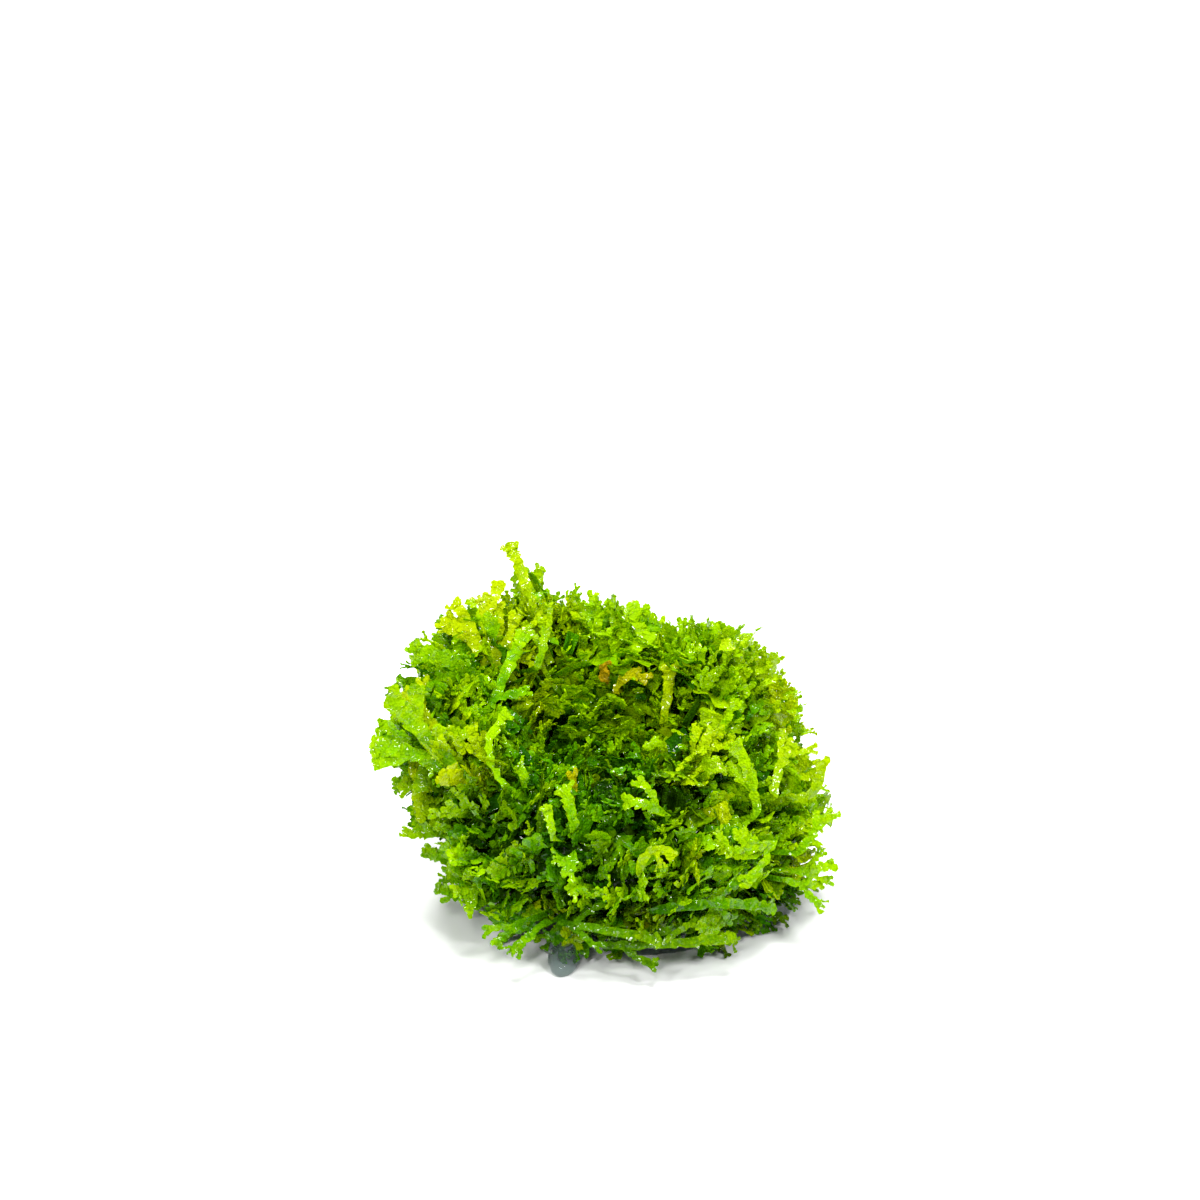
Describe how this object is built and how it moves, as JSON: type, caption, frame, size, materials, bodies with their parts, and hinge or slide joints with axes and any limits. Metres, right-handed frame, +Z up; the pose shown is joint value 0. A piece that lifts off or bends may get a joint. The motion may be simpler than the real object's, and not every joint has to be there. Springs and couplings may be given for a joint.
{
  "type": "riccardia moss clump",
  "caption": "Clump of flat, branching riccardia moss fronds spreading from a low foot of clear culture gel, with an open crown; rests on its flat underside",
  "frame": {"origin": "middle of the culture gel's flat underside", "axes": "+Z up, -Y towards the front, +X to the right seen from the front"},
  "size_m": [0.0459, 0.0416, 0.0313],
  "materials": {
    "clear_gel": "gloss",
    "old_fronds": "satin",
    "olive_fronds": "satin",
    "yellow_green_fronds": "satin",
    "lime_fronds": "satin",
    "mid_green_fronds": "satin"
  },
  "bodies": {
    "root": {"culture_gel": "clear_gel", "foot_fringe": "old_fronds", "heart_growth": "olive_fronds", "back_left_crest": "yellow_green_fronds", "back_crest": "lime_fronds", "back_right_crest": "lime_fronds", "right_tuft": "lime_fronds", "front_tuft": "mid_green_fronds", "front_left_tuft": "mid_green_fronds", "left_tuft": "lime_fronds"}
  },
  "joints": []
}
